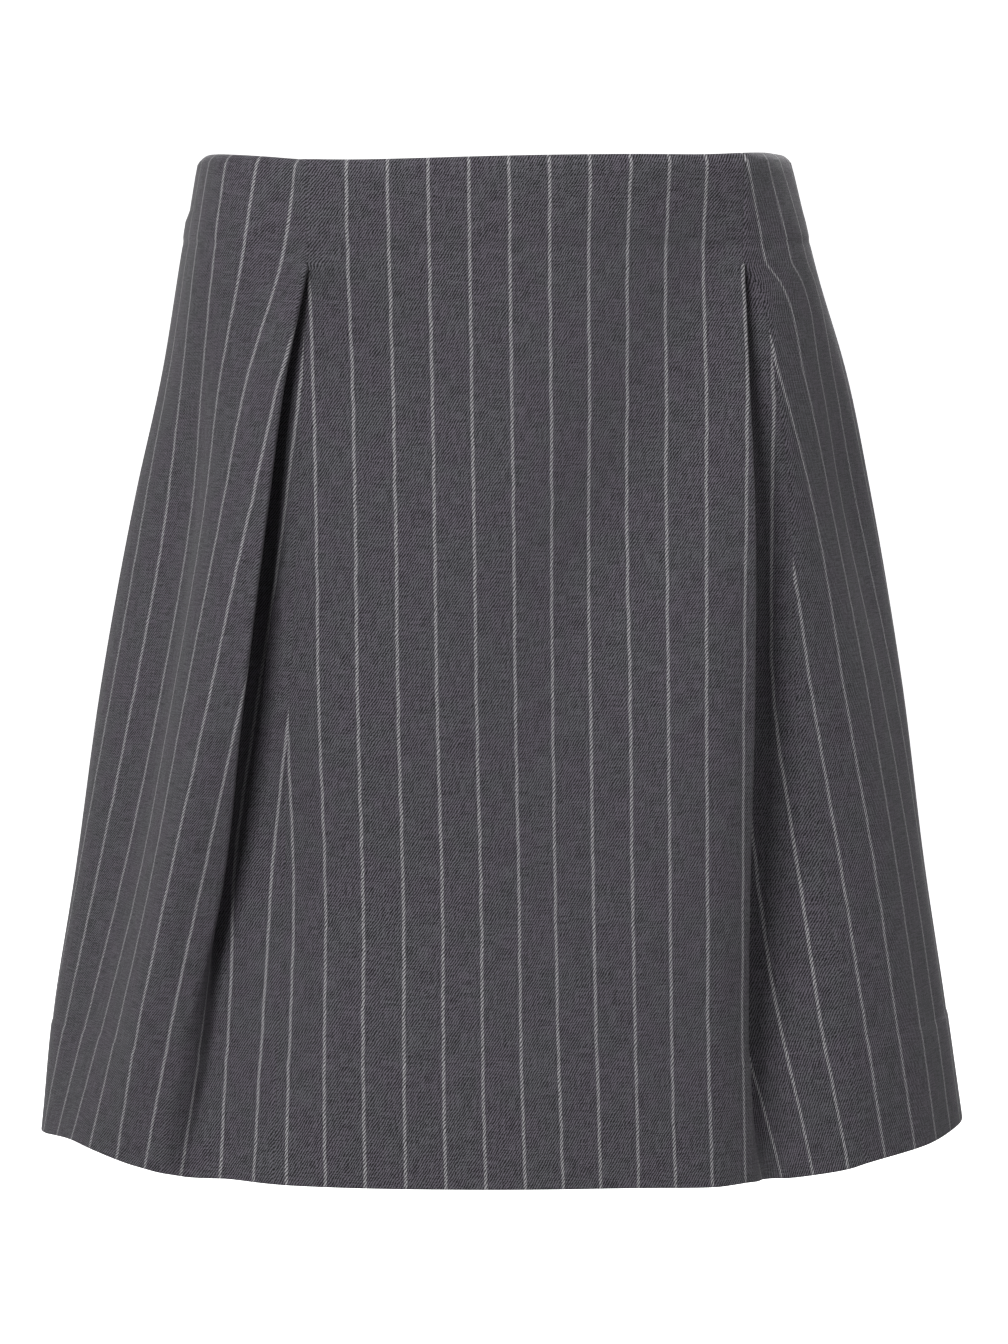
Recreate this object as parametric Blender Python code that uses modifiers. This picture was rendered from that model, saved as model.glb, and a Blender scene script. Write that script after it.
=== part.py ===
"""A pinstriped A-line mini skirt in its worn, hollow form, with two released front pleats.

The skirt hangs from its waist: the origin is the middle of the waist opening, +Z is up and the front
faces -Y. Sides are the wearer's, so the wearer's right is at -X.

Every height of the skirt has one ring, a closed curve pulled by guides. A guide is a line that runs
down the cloth, such as a seam, a fold edge or a ridge. The pieces are the stretches of the rings
between their seams, so neighbours share one smooth form and differ only by the seam's gap.
"""

import math
from collections import namedtuple

import bmesh
import bpy
import numpy as np
from mathutils import Matrix, Vector

MM = 0.001

# Cloth
WALL = 1.2
SEAM_GAP = 0.3
CLOTH_COLOUR = (0.077, 0.072, 0.084)
CLOTH_ROUGHNESS = 0.95
TAPE_COLOUR = (0.05, 0.048, 0.055)
TAPE_ROUGHNESS = 0.8
METAL_COLOUR = (0.06, 0.06, 0.065)
METAL_ROUGHNESS = 0.35
METAL = 0.6

# Heights, as drops below the waist edge in millimetres
DROPS = {
    "waist": 0.0,
    "apex": 45.0,
    "release": 54.0,
    "upper": 95.0,
    "thigh": 150.0,
    "middle": 235.0,
    "lower": 320.0,
    "calf": 380.0,
    "hem": 434.0,
}
ROW_DROPS = (0, 6, 18, 31, 45, 54, 70, 90, 112, 138, 166, 196, 228, 260, 292, 322, 352, 382, 410, 434)
RISE_DEPTH = 60.0
FALL_START = 280.0

# Back: half depths behind the side seams, and the soft flutes of the hem
SIDE_SEAM_Y = 4.0
BACK_DEPTH_WAIST = 86.0
BACK_DEPTH_FLARE = 50.0
BACK_FLARE_POWER = 0.9
BACK_FULLNESS = 0.92
BACK_STEPS = 12
BACK_DIP = 6.0
BACK_DIP_DEPTH = 80.0
FLUTE_SIZE = 0.03
FLUTE_COUNT = 6
FLUTE_PHASE = 0.6

# Crispness of the pleat edges: the reach of the bend, sharp at the top and soft at the hem
CRISP_REACH = 2.4
SOFT_REACH = 9.0
SOFT_START = 150.0
SOFT_POWER = 1.3
LEAD_MOST = 0.45

# Columns of the panels: their distances from a fold edge and from a seam
FOLD_STEPS = (0.0, 0.6, 1.3, 2.2, 4.0)
SEAM_STEPS = (0.0, 2.0)
CURVE_STEPS = 8

# Concealed zip in the centre-back seam, closed, with its slider at the top
ZIP_TOP = 4.0
ZIP_END = 190.0
ZIP_ROWS = 14
TAPE_WIDTH = 11.0
TAPE_THICK = 0.7
TAPE_CLEAR = 0.35
TAPE_COLUMNS = 4
TAPE_GAP = 0.95
MOUTH_GAP = 0.95
MOUTH_END = 15.0
MOUTH_FADE = 6.0
SLIDER_DROP = 10.0
SLIDER_SIZE = (6.4, 2.4, 9.0)
SLIDER_CLEAR = 0.3
SLIDER_ROUND = 0.5
NECK_WIDTH = 1.2
NECK_HEIGHT = 3.0
EYE_RADIUS = 1.9
EYE_HOLE_RADIUS = 1.1
EYE_STAND = 2.0
ROUND_SEGMENTS = 24

# Its pull tab, which hangs by a bar through the slider's eye
PULL_LENGTH = 22.0
PULL_THICK = 1.0
PULL_TOP_WIDTH = 4.2
PULL_END_WIDTH = 5.4
PULL_BAR = 0.9
PULL_WINDOW_WIDTH = 2.0
PULL_WINDOW_LENGTH = 2.8
PULL_CORNER = 1.2
PULL_LEAN = math.radians(11.0)
CORNER_STEPS = 5

Guide = namedtuple("Guide", "name rise fall at")


def guide(name, rise, fall, **at):
    """A line down the cloth: its rise at the waist, its fall at the hem, and (x, y) at named heights."""
    return Guide(name, rise, fall, {height: np.array(place, float) for height, place in at.items()})


# The front, from the wearer's right side seam to the left one, in millimetres.
# Guides named in PLEATED exist only below the apex, where the pleats are released.
FRONT = [
    guide("side_right", 0, -3,
          waist=(-129, 4), apex=(-137, 4), upper=(-145.5, 4), thigh=(-158, 4), middle=(-173, 4),
          lower=(-185, 4), calf=(-194.5, 4), hem=(-201, 6)),
    guide("right_outer", 1, -3,
          waist=(-125.5, -36), apex=(-134, -39), upper=(-140, -26), thigh=(-150, -20), middle=(-166, -20),
          lower=(-181.5, -16), calf=(-191.5, -14), hem=(-199.5, -10)),
    guide("right_hollow", 0.9, -2,
          waist=(-119.5, -56), apex=(-126, -60), upper=(-129.5, -48), thigh=(-132.5, -42),
          middle=(-147, -42), lower=(-165.5, -38), calf=(-180.5, -34), hem=(-193.5, -27)),
    guide("right_turn", 0.2, -1.5,
          waist=(-107.5, -68), apex=(-114.5, -72), upper=(-123, -63), thigh=(-129.5, -60),
          middle=(-143, -57), lower=(-159, -53), calf=(-174, -49), hem=(-188, -42)),
    guide("right_stripe", -1.3, -0.5,
          waist=(-91.5, -76), apex=(-97.5, -79), upper=(-112, -76), thigh=(-123, -75), middle=(-140, -72),
          lower=(-156, -68), calf=(-169, -64), hem=(-181, -57)),
    guide("right_ridge", -1.3, 1,
          waist=(-89, -77.5), apex=(-92.5, -81), upper=(-105.5, -83.5), thigh=(-114.5, -85.5),
          middle=(-130, -90), lower=(-149, -87), calf=(-161, -83.5), hem=(-167, -79)),
    guide("right_fold", -1.3, 2,
          release=(-89, -85), upper=(-97.5, -86), thigh=(-105.5, -90), middle=(-116.5, -95), lower=(-126, -89),
          calf=(-143, -89.5), hem=(-152, -87.5)),
    guide("right_behind", -1.3, 2.5,
          release=(-88, -82.5), upper=(-96.5, -83.5), thigh=(-104.5, -87), middle=(-116, -90.5),
          lower=(-126.5, -84), calf=(-136.5, -85.5), hem=(-147, -89)),
    guide("right_inner", -1.3, 2.8,
          release=(-111.5, -69.5), upper=(-114, -69.5), thigh=(-119.5, -74.5), middle=(-122.5, -79),
          lower=(-129.5, -77), calf=(-130.5, -77.5), hem=(-141, -91.5)),
    guide("right_return", -1.3, 2.8,
          release=(-110.5, -67.5), upper=(-112.5, -67), thigh=(-118, -72), middle=(-120.5, -75),
          lower=(-127, -74), calf=(-127, -76.5), hem=(-136, -94.5)),
    guide("right_under", -1.3, 2,
          release=(-98, -74.5), upper=(-99.5, -74.5), thigh=(-103, -74.5), middle=(-107, -68.5),
          lower=(-117, -69.5), calf=(-119.5, -83), hem=(-122, -102)),
    guide("seam_right", -1.3, 1.5,
          waist=(-86.5, -79), apex=(-87, -82), release=(-87, -79.5), upper=(-88.5, -77.5), thigh=(-91, -79),
          middle=(-95, -81), lower=(-97, -82), calf=(-101.5, -96), hem=(-105.5, -111)),
    guide("right_shoulder", -1.5, 1,
          waist=(-71, -84), apex=(-70.5, -87.5), upper=(-72, -84.5), thigh=(-76, -88.5),
          middle=(-79.5, -96.5), lower=(-80, -102), calf=(-80, -114), hem=(-81, -122.5)),
    guide("front_right", -1.3, 0.5,
          waist=(-53, -89), apex=(-52.5, -91.5), upper=(-51, -92), thigh=(-50.5, -97), middle=(-50.5, -106),
          lower=(-49.5, -115), calf=(-50.5, -125), hem=(-50.5, -134)),
    guide("centre", 0.4, 0,
          waist=(-1.5, -95), apex=(-1.5, -99), upper=(-1.5, -104), thigh=(-1.5, -111), middle=(-2, -122),
          lower=(-2, -134), calf=(-2, -143), hem=(-1, -150)),
    guide("front_left", 0.9, 0.5,
          waist=(51, -92), apex=(49.5, -95), upper=(49.5, -100), thigh=(49, -106), middle=(48.5, -117),
          lower=(48, -128), calf=(48, -135), hem=(48, -142)),
    guide("left_shoulder", 0.4, 1.5,
          waist=(84, -84), apex=(83.5, -88), upper=(84.5, -94), thigh=(83.5, -99), middle=(81.5, -108),
          lower=(80.5, -117), calf=(80, -124), hem=(81, -132)),
    guide("left_fold", 1.3, 2,
          release=(103, -85.5), upper=(104, -91), thigh=(106, -96), middle=(105, -101), lower=(101.5, -108),
          calf=(99, -114), hem=(98, -127)),
    guide("left_behind", 1.3, 2.5,
          release=(103, -83), upper=(104, -88.5), thigh=(105.5, -93), middle=(105.5, -97.5),
          lower=(102, -103), calf=(101, -108.5), hem=(102.5, -120)),
    guide("left_inner", 1.3, 2.8,
          release=(72.5, -88.5), upper=(75.5, -93.5), thigh=(81, -97), middle=(83.5, -99), lower=(87, -91.5),
          calf=(91.5, -101.5), hem=(106.5, -114)),
    guide("left_return", 1.3, 2.8,
          release=(73, -86), upper=(76, -91), thigh=(82, -94.5), middle=(84.5, -95.5), lower=(88.5, -88),
          calf=(93, -97.5), hem=(112, -108.5)),
    guide("left_under", 1.3, 2.8,
          release=(88, -83.5), upper=(94, -86.5), thigh=(97, -87.5), middle=(99, -86), lower=(113, -84),
          calf=(112, -94.5), hem=(122, -102)),
    guide("left_show", 1.3, 2.5,
          release=(99, -81.5), upper=(107, -83.5), thigh=(114.5, -80), middle=(116.5, -80), lower=(130, -84),
          calf=(139, -91), hem=(147, -97)),
    guide("seam_left", 1.3, 2,
          waist=(102, -78), apex=(102, -83), release=(107.5, -80.5), upper=(116.5, -81), thigh=(124, -78),
          middle=(126.5, -80), lower=(140, -83), calf=(148, -90), hem=(155, -95)),
    guide("left_near", 1.5, 1,
          waist=(114, -67), apex=(112.5, -77), upper=(124, -75), thigh=(134.5, -71), middle=(150.5, -70),
          lower=(164.5, -74), calf=(172.5, -78), hem=(182, -80)),
    guide("left_turn", 1.6, 0,
          waist=(121, -56), apex=(127, -65), upper=(137.5, -60), thigh=(146.5, -54), middle=(163.5, -56),
          lower=(177.5, -60), calf=(186, -64), hem=(194, -65)),
    guide("left_hollow", 1, -1,
          waist=(129, -37), apex=(137.5, -46), upper=(149, -38), thigh=(156, -33), middle=(175.5, -33),
          lower=(190.5, -38), calf=(199.5, -42), hem=(206.5, -44)),
    guide("left_outer", 0.3, -2,
          waist=(133.5, -18), apex=(143.5, -22), upper=(158, -20), thigh=(170.5, -12), middle=(186, -14),
          lower=(196.5, -18), calf=(205.5, -22), hem=(213, -25)),
    guide("side_left", 0, -2,
          waist=(134.5, 4), apex=(146.5, 4), upper=(162, 4), thigh=(174, 6), middle=(188.5, 6),
          lower=(200, 6), calf=(209, 6), hem=(217, 6)),
]
PLEATED = {
    "right_fold", "right_behind", "right_inner", "right_return", "right_under", "left_fold",
    "left_behind", "left_inner", "left_return", "left_under", "left_show",
}
# A pleat turns round a pair of guides, and these get a lead on the leg before or after the pair.
LEAD_BEFORE = {"right_fold", "left_fold", "right_inner", "left_inner"}
LEAD_AFTER = {"right_behind", "left_behind", "right_return", "left_return"}


def along(heights, values, drop):
    """Cubic curve through the values at the given heights."""
    last = len(heights) - 1
    if drop >= heights[last]:
        return values[last]

    def slope(k):
        if k == 0:
            return (values[1] - values[0]) / (heights[1] - heights[0])
        if k == last:
            return (values[last] - values[last - 1]) / (heights[last] - heights[last - 1])
        before = heights[k] - heights[k - 1]
        after = heights[k + 1] - heights[k]
        back = (values[k] - values[k - 1]) / before
        ahead = (values[k + 1] - values[k]) / after
        return (back * after + ahead * before) / (before + after)

    if drop <= heights[0]:
        return values[0] + slope(0) * (drop - heights[0])
    k = max(i for i in range(last) if heights[i] <= drop)
    step = heights[k + 1] - heights[k]
    t = (drop - heights[k]) / step
    rest = values[k] * (2 * t**3 - 3 * t**2 + 1) + values[k + 1] * (3 * t**2 - 2 * t**3)
    return rest + step * (slope(k) * (t**3 - 2 * t**2 + t) + slope(k + 1) * (t**3 - t**2))


def guide_point(line, drop):
    """Where a guide passes a height."""
    names = [name for name in DROPS if name in line.at]
    x, y = along([DROPS[name] for name in names], [line.at[name] for name in names], drop)
    rise = line.rise * max(0.0, 1.0 - drop / RISE_DEPTH)
    fall_part = max(0.0, (drop - FALL_START) / (DROPS["hem"] - FALL_START))
    return np.array([x, y, rise - drop - line.fall * min(1.0, fall_part) ** 2])


def back_points(drop):
    """The back of the ring, from the left side seam round to the right one, as a fluted half oval."""
    left = guide_point(FRONT[-1], drop)
    right = guide_point(FRONT[0], drop)
    middle_x = (left[0] + right[0]) / 2
    half_width = (left[0] - right[0]) / 2
    down = drop / DROPS["hem"]
    depth = BACK_DEPTH_WAIST + BACK_DEPTH_FLARE * down**BACK_FLARE_POWER
    points = []
    for k in range(1, BACK_STEPS):
        turn = math.pi * k / BACK_STEPS
        flute = 1 + FLUTE_SIZE * down**2 * math.cos(FLUTE_COUNT * turn + FLUTE_PHASE) * math.sin(turn)
        x = middle_x + half_width * math.cos(turn) * flute
        y = SIDE_SEAM_Y + depth * math.sin(turn) ** BACK_FULLNESS * flute
        dip = BACK_DIP * math.sin(turn) * max(0.0, 1.0 - drop / BACK_DIP_DEPTH)
        points.append(np.array([x, y, -drop - dip]))
    return points


def lead(point, neighbour, reach):
    """A point on the way to a neighbour, which keeps the bend at this one as tight as its reach."""
    leg = neighbour - point
    length = np.linalg.norm(leg[:2])
    return point + leg * min(reach, LEAD_MOST * length) / length


def ring_guides(drop):
    """The guide points round the skirt at one height, with their names."""
    released = drop >= DROPS["release"]
    lines = [line for line in FRONT if released or line.name not in PLEATED]
    points = [guide_point(line, drop) for line in lines] + back_points(drop)
    names = [line.name for line in lines]
    names += ["seam_back" if k == BACK_STEPS // 2 else f"back_{k}" for k in range(1, BACK_STEPS)]
    soft = min(1.0, max(0.0, (drop - SOFT_START) / (DROPS["hem"] - SOFT_START)))
    reach = CRISP_REACH + SOFT_REACH * soft**SOFT_POWER
    guides = []
    for k, (name, point) in enumerate(zip(names, points)):
        if name in LEAD_BEFORE:
            guides.append((name + "_lead", lead(point, points[k - 1], reach)))
        guides.append((name, point))
        if name in LEAD_AFTER:
            guides.append((name + "_lead", lead(point, points[k + 1], reach)))
    return guides


class Ring:
    """The closed curve of one height. Positions on it count guides, with fractions between them."""

    def __init__(self, drop):
        self.drop = drop
        self.released = drop >= DROPS["release"]
        guides = ring_guides(drop)
        pull = [point for _, point in guides]
        curve = []
        self.marks = {}
        for k, (name, point) in enumerate(guides):
            start = (pull[k - 1] + point) / 2
            end = (point + pull[(k + 1) % len(pull)]) / 2
            near = math.sqrt(np.linalg.norm((point - start)[:2]))
            far = math.sqrt(np.linalg.norm((end - point)[:2]))
            self.marks[name] = (k + near / (near + far)) * CURVE_STEPS
            self.marks[name + "_tip"] = (k + 1) * CURVE_STEPS
            for step in range(CURVE_STEPS):
                t = step / CURVE_STEPS
                curve.append((1 - t) ** 2 * start + 2 * t * (1 - t) * point + t**2 * end)
        self.curve = np.array(curve)

    def point(self, position):
        k = math.floor(position)
        part = position - k
        count = len(self.curve)
        return self.curve[k % count] * (1 - part) + self.curve[(k + 1) % count] * part

    def stretch(self, first, last):
        """The points from one mark round to another, and their distances along the curve."""
        start = self.marks[first]
        end = self.marks[last]
        if end <= start:
            end += len(self.curve)
        positions = [start, *range(math.floor(start) + 1, math.ceil(end)), end]
        points = np.array([self.point(position) for position in positions])
        steps = np.linalg.norm(np.diff(points[:, :2], axis=0), axis=1)
        return points, np.concatenate([[0.0], np.cumsum(steps)])


def stations(length, count, start_steps, end_steps):
    """Distances of the columns along a stretch: close at its ends where a fold needs it, even between."""
    scale = min(1.0, 0.4 * length / (start_steps[-1] + end_steps[-1]))
    start = [step * scale for step in start_steps]
    end = [length - step * scale for step in reversed(end_steps)]
    return [*start[:-1], *np.linspace(start[-1], end[0], count + 1), *end[1:]]


def seam_trim(drop):
    """Each piece stops half a gap short of its seam."""
    return SEAM_GAP / 2


def zip_trim(drop):
    """The centre-back edges stand further back at the top, where the slider's neck passes between them."""
    fade = min(1.0, max(0.0, (MOUTH_END + MOUTH_FADE - drop) / MOUTH_FADE))
    return SEAM_GAP / 2 + (MOUTH_GAP - SEAM_GAP / 2) * fade


# A panel runs from one seam to another, anticlockwise seen from above. Where it has a pleat, it turns
# under at the fold, back at the inner fold, and carries on as the underlay to the neighbour's seam.
Panel = namedtuple("Panel", "name first last pleat columns first_trim last_trim")
PANELS = [
    Panel("front_side_right", "side_right", "seam_right", "right", (11, 3, 3), seam_trim, seam_trim),
    Panel("front_centre", "seam_right", "seam_left", "left", (19, 3, 4), seam_trim, seam_trim),
    Panel("front_side_left", "seam_left", "side_left", None, (10,), seam_trim, seam_trim),
    Panel("back_left", "side_left", "seam_back", None, (15,), seam_trim, zip_trim),
    Panel("back_right", "seam_back", "side_right", None, (15,), zip_trim, seam_trim),
]
Stretch = namedtuple("Stretch", "first last count start_steps end_steps")


def panel_stretches(panel):
    """A plain panel is one stretch of the ring. A pleated one is its main part and two layers under it."""
    if panel.pleat is None:
        return [Stretch(panel.first, panel.last, panel.columns[0], SEAM_STEPS, SEAM_STEPS)]
    fold = panel.pleat + "_fold_tip"
    inner = panel.pleat + "_inner_tip"
    main, under, back = panel.columns
    return [
        Stretch(panel.first, fold, main, SEAM_STEPS, FOLD_STEPS),
        Stretch(fold, inner, under, FOLD_STEPS, FOLD_STEPS),
        Stretch(inner, panel.last, back, FOLD_STEPS, SEAM_STEPS),
    ]


def panel_row(ring, panel):
    """The panel's points at one height. Above the release a pleated panel ends at its seam."""
    stretches = panel_stretches(panel)
    if not ring.released:
        stretches = [stretches[0]._replace(last=panel_seam(panel))]
    row = []
    for k, part in enumerate(stretches):
        points, distances = ring.stretch(part.first, part.last)
        start = panel.first_trim(ring.drop) if k == 0 else 0.0
        end = panel.last_trim(ring.drop) if part is stretches[-1] else 0.0
        length = distances[-1] - start - end
        wanted = start + np.array(stations(length, part.count, part.start_steps, part.end_steps))
        columns = np.stack([np.interp(wanted, distances, points[:, axis]) for axis in range(3)], axis=1)
        row += list(columns[min(k, 1):])
    return row


def panel_seam(panel):
    """The seam that closes a panel's main part above its pleat."""
    return "seam_" + panel.pleat if panel.pleat else panel.last


def new_object(name, mesh_or_curve, material):
    """An object in the skirt's collection, with its material."""
    mesh_or_curve.materials.append(material)
    piece = bpy.data.objects.new(name, mesh_or_curve)
    SKIRT.objects.link(piece)
    return piece


def finish(name, colour, roughness, metallic=0.0):
    """A material of one colour."""
    material = bpy.data.materials.new(name)
    material.use_nodes = True
    shader = material.node_tree.nodes["Principled BSDF"]
    shader.inputs["Base Color"].default_value = (*colour, 1.0)
    shader.inputs["Roughness"].default_value = roughness
    shader.inputs["Metallic"].default_value = metallic
    return material


def cloth_grid(name, rows, thickness, material):
    """A sheet through rows of points, listed from the top, given its thickness evenly on both sides.

    Rows above a pleat's release are shorter, and the grid's spare corners there are taken away.
    """
    across = max(len(row) for row in rows)
    bm = bmesh.new()
    bmesh.ops.create_grid(bm, x_segments=across - 1, y_segments=len(rows) - 1, size=1.0)
    spare = []
    for k, vert in enumerate(bm.verts):
        level, column = divmod(k, across)
        row = rows[len(rows) - 1 - level]
        if column < len(row):
            vert.co = Vector(row[column]) * MM
        else:
            spare.append(vert)
    bmesh.ops.delete(bm, geom=spare, context="VERTS")
    mesh = bpy.data.meshes.new(name)
    bm.to_mesh(mesh)
    bm.free()
    mesh.shade_smooth()
    sheet = new_object(name, mesh, material)
    wall = sheet.modifiers.new("wall", "SOLIDIFY")
    wall.thickness = thickness * MM
    wall.offset = 0.0
    wall.use_even_offset = True
    return sheet


def moved_in(rows, distance):
    """Rows of a sheet moved towards the inside of the skirt, square to the sheet."""
    grid = np.array(rows)
    along_row = np.gradient(grid, axis=1)
    down = np.gradient(grid, axis=0)
    inward = np.cross(along_row, down)
    return grid + distance * inward / np.linalg.norm(inward, axis=2, keepdims=True)


def tape_rows(side):
    """A zip tape's rows: a narrow strip beside the centre-back seam, inside the cloth."""
    rows = []
    for drop in np.linspace(ZIP_TOP, ZIP_END, ZIP_ROWS):
        ring = Ring(drop)
        first, last = ("side_left", "seam_back") if side == "left" else ("seam_back", "side_right")
        points, distances = ring.stretch(first, last)
        wanted = np.linspace(TAPE_GAP, TAPE_WIDTH, TAPE_COLUMNS)
        if side == "left":
            wanted = distances[-1] - wanted[::-1]
        rows.append([[np.interp(s, distances, points[:, axis]) for axis in range(3)] for s in wanted])
    return moved_in(rows, WALL / 2 + TAPE_CLEAR + TAPE_THICK / 2)


def zip_place():
    """The turned frame of the zip's slider: +Y out of the cloth, +Z up along it."""
    above, here, below = (Ring(SLIDER_DROP + step) for step in (-1.0, 0.0, 1.0))
    top, middle, low = (Vector(ring.point(ring.marks["seam_back"])) for ring in (above, here, below))
    slope = math.atan2(low.y - top.y, top.z - low.z)
    return Matrix.Translation(middle * MM) @ Matrix.Rotation(slope, 4, "X")


def box(name, size, centre):
    """A box mesh in the zip's own frame, in millimetres."""
    bm = bmesh.new()
    scale = Matrix.Diagonal((*(Vector(size) * MM), 1.0))
    bmesh.ops.create_cube(bm, size=1.0, matrix=Matrix.Translation(Vector(centre) * MM) @ scale)
    mesh = bpy.data.meshes.new(name)
    bm.to_mesh(mesh)
    bm.free()
    return mesh


def disc(name, radius, thickness, centre):
    """A disc mesh whose axis lies across the zip, in millimetres."""
    bm = bmesh.new()
    turn = Matrix.Rotation(math.pi / 2, 4, "Y")
    bmesh.ops.create_cone(
        bm,
        cap_ends=True,
        segments=ROUND_SEGMENTS,
        radius1=radius * MM,
        radius2=radius * MM,
        depth=thickness * MM,
        matrix=Matrix.Translation(Vector(centre) * MM) @ turn,
    )
    mesh = bpy.data.meshes.new(name)
    bm.to_mesh(mesh)
    bm.free()
    return mesh


def cutter(mesh, place):
    """A hidden helper for a Boolean."""
    helper = bpy.data.objects.new(mesh.name, mesh)
    helper.matrix_world = place
    helper.hide_render = True
    helper.display_type = "WIRE"
    CUTTERS.objects.link(helper)
    return helper


def boolean(piece, helper, operation):
    """Join a helper to a piece, or cut it away."""
    step = piece.modifiers.new(helper.name, "BOOLEAN")
    step.operation = operation
    step.object = helper


def zip_slider(place):
    """The slider: a rounded block behind the tapes, with a neck through the seam to an eye outside."""
    depth = SLIDER_SIZE[1]
    front = -(WALL / 2 + TAPE_CLEAR + TAPE_THICK + SLIDER_CLEAR)
    block = box("zip_slider", SLIDER_SIZE, (0.0, front - depth / 2, 0.0))
    slider = new_object("zip_slider", block, finish("zip_slider", METAL_COLOUR, METAL_ROUGHNESS, METAL))
    slider.matrix_world = place
    rounding = slider.modifiers.new("rounding", "BEVEL")
    rounding.width = SLIDER_ROUND * MM
    rounding.segments = 2
    eye_place = (0.0, WALL / 2 + EYE_STAND, 0.0)
    root = front - depth / 2
    neck_length = eye_place[1] - EYE_HOLE_RADIUS - root
    neck_centre = (0.0, root + neck_length / 2, 0.0)
    neck = box("zip_neck", (NECK_WIDTH, neck_length, NECK_HEIGHT), neck_centre)
    boolean(slider, cutter(neck, place), "UNION")
    boolean(slider, cutter(disc("zip_eye", EYE_RADIUS, NECK_WIDTH, eye_place), place), "UNION")
    hole = disc("zip_eye_hole", EYE_HOLE_RADIUS, 2 * NECK_WIDTH, eye_place)
    boolean(slider, cutter(hole, place), "DIFFERENCE")
    return place @ (Vector(eye_place) * MM)


def rounded(corners, radius):
    """A closed outline with its corners rounded."""
    outline = []
    for k, corner in enumerate(corners):
        corner = Vector(corner)
        into = (corner - Vector(corners[k - 1])).normalized()
        out = (Vector(corners[(k + 1) % len(corners)]) - corner).normalized()
        for step in range(CORNER_STEPS + 1):
            t = step / CORNER_STEPS
            start = corner - into * radius
            end = corner + out * radius
            outline.append((1 - t) ** 2 * start + 2 * t * (1 - t) * corner + t**2 * end)
    return outline


def zip_pull(hinge):
    """The pull tab, with its origin on the middle of its bar, which is the axis it swings about."""
    top = PULL_BAR / 2
    low = top - PULL_LENGTH
    outer = [
        (-PULL_TOP_WIDTH / 2, top),
        (-PULL_END_WIDTH / 2, low),
        (PULL_END_WIDTH / 2, low),
        (PULL_TOP_WIDTH / 2, top),
    ]
    half = PULL_WINDOW_WIDTH / 2
    sill = -top - PULL_WINDOW_LENGTH
    window = [(-half, -top), (half, -top), (half, sill), (-half, sill)]
    curve = bpy.data.curves.new("zip_pull", "CURVE")
    curve.dimensions = "2D"
    curve.fill_mode = "BOTH"
    curve.extrude = PULL_THICK / 2 * MM
    for outline in (rounded(outer, PULL_CORNER), window):
        spline = curve.splines.new("POLY")
        spline.points.add(len(outline) - 1)
        for point, (x, y) in zip(spline.points, outline):
            point.co = (x * MM, y * MM, 0.0, 1.0)
        spline.use_cyclic_u = True
    pull = new_object("zip_pull", curve, finish("zip_pull", METAL_COLOUR, METAL_ROUGHNESS, METAL))
    pull.matrix_world = Matrix.Translation(hinge) @ Matrix.Rotation(math.pi / 2 + PULL_LEAN, 4, "X")
    return pull


def main():
    rings = [Ring(drop) for drop in ROW_DROPS]
    for panel in PANELS:
        rows = [panel_row(ring, panel) for ring in rings]
        cloth_grid(panel.name, rows, WALL, finish(panel.name, CLOTH_COLOUR, CLOTH_ROUGHNESS))
    for side in ("left", "right"):
        name = "zip_tape_" + side
        cloth_grid(name, tape_rows(side), TAPE_THICK, finish(name, TAPE_COLOUR, TAPE_ROUGHNESS))
    zip_pull(zip_slider(zip_place()))


for leftover in list(bpy.data.objects):
    bpy.data.objects.remove(leftover)
SKIRT = bpy.data.collections.new("mini_skirt")
CUTTERS = bpy.data.collections.new("cutters")
bpy.context.scene.collection.children.link(SKIRT)
bpy.context.scene.collection.children.link(CUTTERS)
main()
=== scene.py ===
"""Looks of a pinstriped wool mini skirt: fine cloth shells on the frame's panels, zip, cloth and light.

Lengths are in millimetres up to MM, which turns them into the frame's metres. A drop is a height
counted down from the waist edge. Sides are the wearer's, so the wearer's right is at -X.
"""

import math
from collections import namedtuple

import bmesh
import bpy
import numpy as np
from mathutils import Matrix, Vector


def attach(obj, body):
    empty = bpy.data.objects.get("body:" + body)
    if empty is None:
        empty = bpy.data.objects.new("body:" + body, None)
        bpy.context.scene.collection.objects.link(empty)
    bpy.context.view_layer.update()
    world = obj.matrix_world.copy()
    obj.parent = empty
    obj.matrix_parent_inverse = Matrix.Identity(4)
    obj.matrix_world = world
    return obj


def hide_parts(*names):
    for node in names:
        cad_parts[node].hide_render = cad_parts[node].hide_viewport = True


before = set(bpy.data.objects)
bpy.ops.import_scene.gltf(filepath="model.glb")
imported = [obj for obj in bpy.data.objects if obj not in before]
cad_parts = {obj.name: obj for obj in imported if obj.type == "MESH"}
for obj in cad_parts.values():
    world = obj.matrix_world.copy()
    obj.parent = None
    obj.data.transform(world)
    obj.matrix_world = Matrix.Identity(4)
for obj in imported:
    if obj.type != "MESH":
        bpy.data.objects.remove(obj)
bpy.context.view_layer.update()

MM = 0.001

# Cloth: its wall, the fuller wall of its turned edges, the turned depths, and its rounded rims
WALL = 1.1
TURNED_WALL = 1.9
FACING_DEPTH = 37.0
HEM_DEPTH = 50.0
TURN_FADE = 3.0
EDGE_ROUND = 0.42
RIM_SEGMENTS = 2
RIM_ANGLE = math.radians(50)

# The faint groove that a turned edge presses into the cloth
FACING_GROOVE = 0.28
HEM_GROOVE = 0.16
GROOVE_WIDTH = 1.9

# Seams: half their gap, and how deep their edges roll in, above the release and down the skirt
SEAM_HALF_GAP = 0.03
SEAM_ROLL = 0.4
SEAM_ROLL_LOW = 0.32
SEAM_ROLL_FADE = 12.0
SEAM_ROLL_WIDTH = 1.6

# The centre-back seam stands apart at the top, where the slider's neck passes
MOUTH_GAP = 0.95
MOUTH_END = 15.0
MOUTH_FADE = 6.0

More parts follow.
